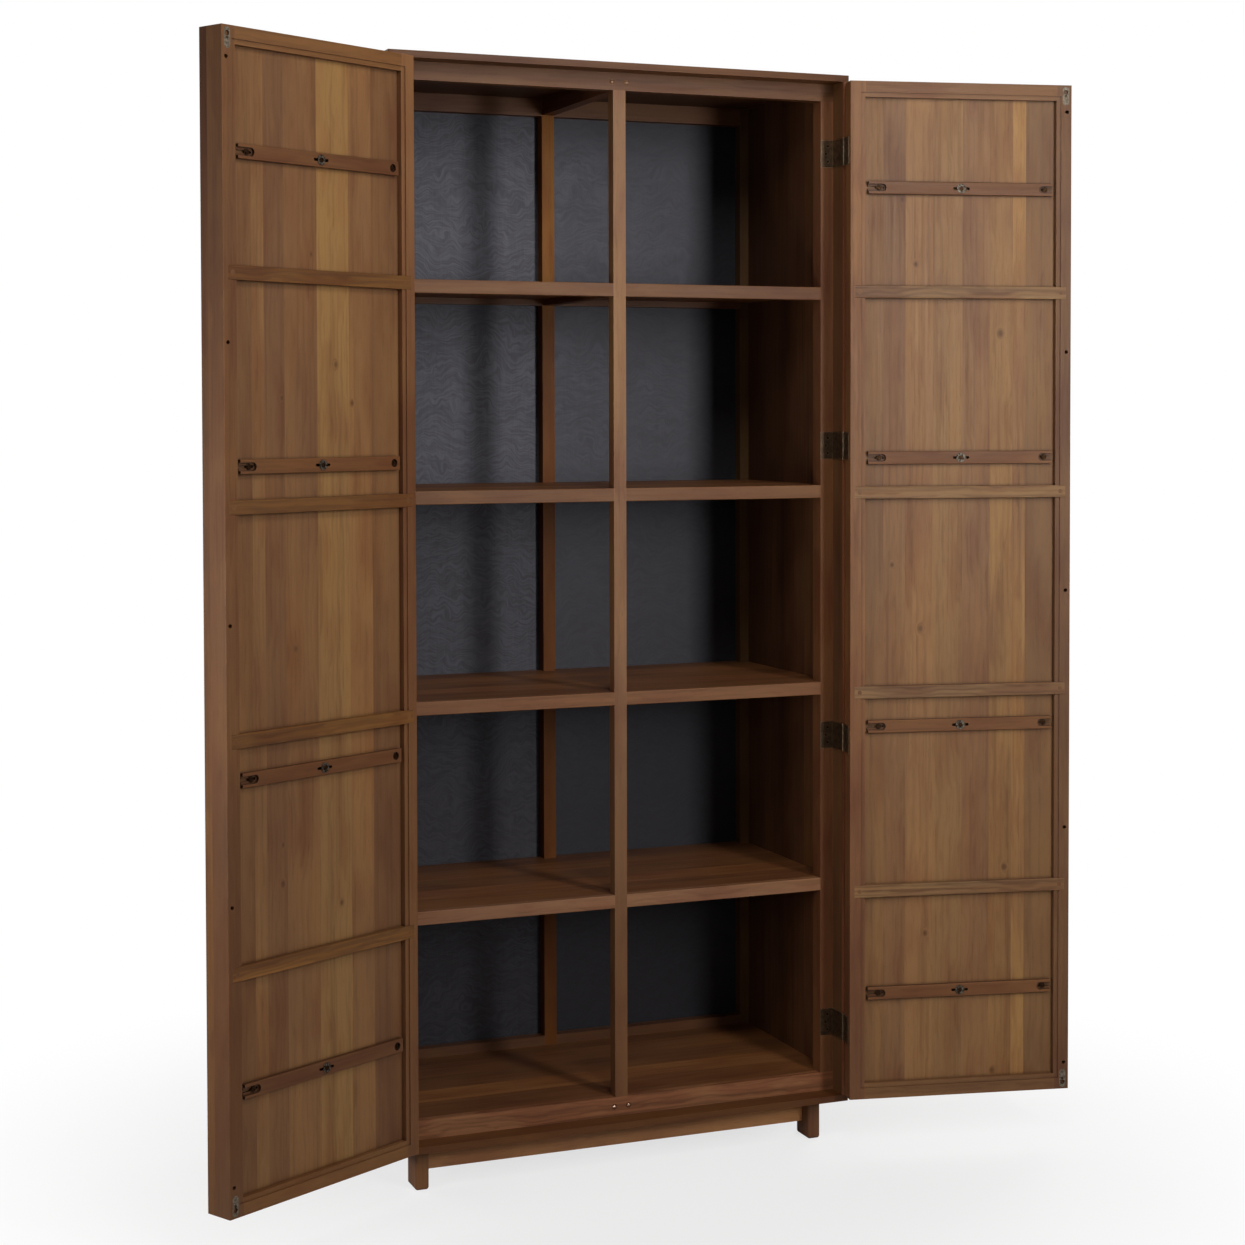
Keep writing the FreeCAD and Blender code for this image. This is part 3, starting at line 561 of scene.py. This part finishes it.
def driven(screw, name, body, frame_place, spots):
    """Copy a screw to each (place, way it points) and join the copies."""
    bpy.ops.object.select_all(action="DESELECT")
    for place, way in spots:
        copy = screw.copy()
        copy.data = screw.data.copy()
        turned = Vector(way).to_track_quat("-Z", "Y").to_matrix().to_4x4()
        copy.data.transform(frame_place @ Matrix.Translation(place) @ turned)
        bpy.context.scene.collection.objects.link(copy)
        copy.select_set(True)
        bpy.context.view_layer.objects.active = copy
    bpy.ops.object.join()
    piece = bpy.context.object
    piece.name = name
    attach(piece, body)
    return piece


pan_screw = cross_screw(head=0.0040, rise=0.0014, shank=0.0019, length=0.012)
leaf_screw = cross_screw(head=0.0025, rise=0.0006, shank=0.0012, length=0.009)
plate_screw = cross_screw(head=0.0022, rise=0.0008, shank=0.0010, length=0.008)

# Each screw's place is across and out from the hinge pins, with its level from the
# floor. A leaf's three screws are staggered, and a batten's outer two sit in pockets.
lowest_hinge, hinge_pitch = 0.215, 0.547667
hinge_levels = [lowest_hinge + hinge_pitch * number for number in range(4)]
leaf_rows = ((-0.0020, -0.0142), (0.0020, 0.0), (-0.0020, 0.0142))
door_leaf_face, door_leaf_middle = 0.00005, 0.0209
case_leaf_middle, case_leaf_face = 0.01175, 0.0449
door_edge = 0.00125
batten_levels, batten_face = (0.2864, 0.7870, 1.2880, 1.7886), 0.0439
batten_ends, batten_middle = {"left": (0.0485, 0.3715), "right": (0.0565, 0.3781)}, 0.2140
in_pocket, on_slot = 0.0056, 0.0006
strike_levels, strike_middle, strike_face = (0.109, 1.964), 0.41775, 0.0443
for side, turn in turns.items():
    door = side + "_door"
    flip = 1 if side == "left" else -1
    angle, pin = turn
    swing = angle if side == "left" else angle + math.pi
    swung = Matrix.Translation((pin[0], pin[1], 0)) @ Matrix.Rotation(swing, 4, "Z")
    first, last = batten_ends[side]
    rows = ((first, in_pocket), (batten_middle, on_slot), (last, in_pocket))
    spots = [(Vector((flip * (across + door_edge), batten_face - depth, level)), (0, -1, 0))
             for level in batten_levels for across, depth in rows]
    piece = driven(pan_screw, door + "_batten_cross_screws", door, swung, spots)
    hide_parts(door + "_batten_screws")
    spots = [(Vector((flip * door_leaf_face, door_leaf_middle + aside, level + up)), (flip, 0, 0))
             for level in hinge_levels for aside, up in leaf_rows]
    piece = driven(leaf_screw, door + "_hinge_cross_screws", door, swung, spots)
    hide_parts(door + "_hinge_screws")
    spots = [(Vector((flip * strike_middle, strike_face, level)), (0, -1, 0))
             for level in strike_levels]
    driven(plate_screw, door + "_strike_screws", door, swung, spots)
spots = []
for flip, side in ((1, "left"), (-1, "right")):
    pin = turns[side][1]
    for level in hinge_levels:
        for aside, up in leaf_rows:
            across = pin[0] + flip * (case_leaf_middle + aside)
            spots.append((Vector((across, pin[1] + case_leaf_face, level + up)), (0, 1, 0)))
piece = driven(leaf_screw, "case_hinge_cross_screws", "carcass", Matrix.Identity(4), spots)
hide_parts("case_hinge_screws")
for pattern in (pan_screw, leaf_screw, plate_screw):
    bpy.data.objects.remove(pattern)

# A plain white studio floor keeps the cabinet's shadow and fades into a white
# backdrop. The light comes from a tall strip and a high lamp in front, with weak
# ones beside the camera, at the left and behind.
bpy.ops.object.select_all(action="DESELECT")
bpy.ops.mesh.primitive_plane_add(size=40.0)
floor = bpy.context.object
floor.name = "studio_floor"
floor_white, tree, paper = blank("studio_white")
paper.inputs["Roughness"].default_value = 0.9
paper.inputs["Specular IOR Level"].default_value = 0.1
seen = wire(tree, "LightPath", {}).outputs["Is Camera Ray"]
unseen_grey, seen_white = (0.50, 0.50, 0.50, 1), (0.86, 0.86, 0.86, 1)
tree.links.new(blended(tree, seen, unseen_grey, seen_white), paper.inputs["Base Color"])
place = wire(tree, "TexCoord", {}).outputs["Object"]
distance = wire(tree, "VectorMath", {0: place}, operation="LENGTH").outputs["Value"]
fade_start, fade_end = 0.45, 1.5
far = spread(tree, distance, fade_start, fade_end, 0.72, 1.0, "SMOOTHSTEP")
glow = wire(tree, "Emission", {"Color": (1, 1, 1, 1), "Strength": 1.0}).outputs[0]
fade = wire(tree, "MixShader", {0: product(tree, seen, far), 1: paper.outputs[0], 2: glow})
tree.links.new(fade.outputs[0], tree.nodes["Material Output"].inputs["Surface"])
floor.data.materials.append(floor_white)

# Only mirror-like rays see the backdrop, which is bright behind the cabinet. The
# rest of the room gives almost no light of its own.
world = bpy.data.worlds.new("studio")
bpy.context.scene.world = world
world.use_nodes = True
tree = world.node_tree
sky = tree.nodes["Background"]
sky.inputs["Color"].default_value = (1.0, 1.0, 1.0, 1)
rays = wire(tree, "LightPath", {}).outputs
direction = wire(tree, "TexCoord", {}).outputs["Generated"]
outward = wire(tree, "SeparateXYZ", {"Vector": direction}).outputs["Y"]
front_light, back_light, room_light = 0.05, 1.0, 0.015
backdrop = spread(tree, outward, 0.35, 0.8, front_light, back_light)
mirrored = reckoned(tree, "MAXIMUM", rays["Is Glossy Ray"], rays["Is Transmission Ray"])
mirrored = reckoned(tree, "MAXIMUM", product(tree, mirrored, backdrop), room_light)
shown = reckoned(tree, "MAXIMUM", rays["Is Camera Ray"], mirrored)
tree.links.new(shown, sky.inputs["Strength"])


def lamp(name, place, aim, size, power):
    light = bpy.data.objects.new(name, bpy.data.lights.new(name, "AREA"))
    bpy.context.scene.collection.objects.link(light)
    light.data.shape = "RECTANGLE"
    light.data.size, light.data.size_y = size
    light.data.energy = power
    light.location = place
    light.rotation_euler = (Vector(aim) - Vector(place)).to_track_quat("-Z", "Y").to_euler()
    light.visible_camera = False


lamp("key_strip", place=(0.8, -2.5, 1.8), aim=(0.1, 0, 1.65), size=(0.35, 1.65), power=30)
lamp("high_front", place=(-0.3, -1.95, 2.95), aim=(0, 0, 1.2), size=(0.6, 0.8), power=17)
lamp("camera_side", place=(-1.6, -3.9, 1.9), aim=(0, 0, 1.2), size=(1.0, 1.0), power=6)
lamp("left_fill", place=(-1.95, -0.75, 0.9), aim=(-0.8, -0.3, 1.0), size=(0.5, 0.5), power=10.5)
lamp("back_fill", place=(0.3, 3.8, 2.0), aim=(0, 0, 1.0), size=(2.0, 2.0), power=50)
lamp("left_back_fill", place=(-2.2, 2.0, 1.3), aim=(-0.4, 0.3, 1.0), size=(1.0, 1.0), power=24)
lamp("right_back_fill", place=(2.4, 1.5, 1.3), aim=(0.4, 0.2, 1.0), size=(1.0, 1.0), power=30)

bpy.context.scene.view_settings.view_transform = "Standard"
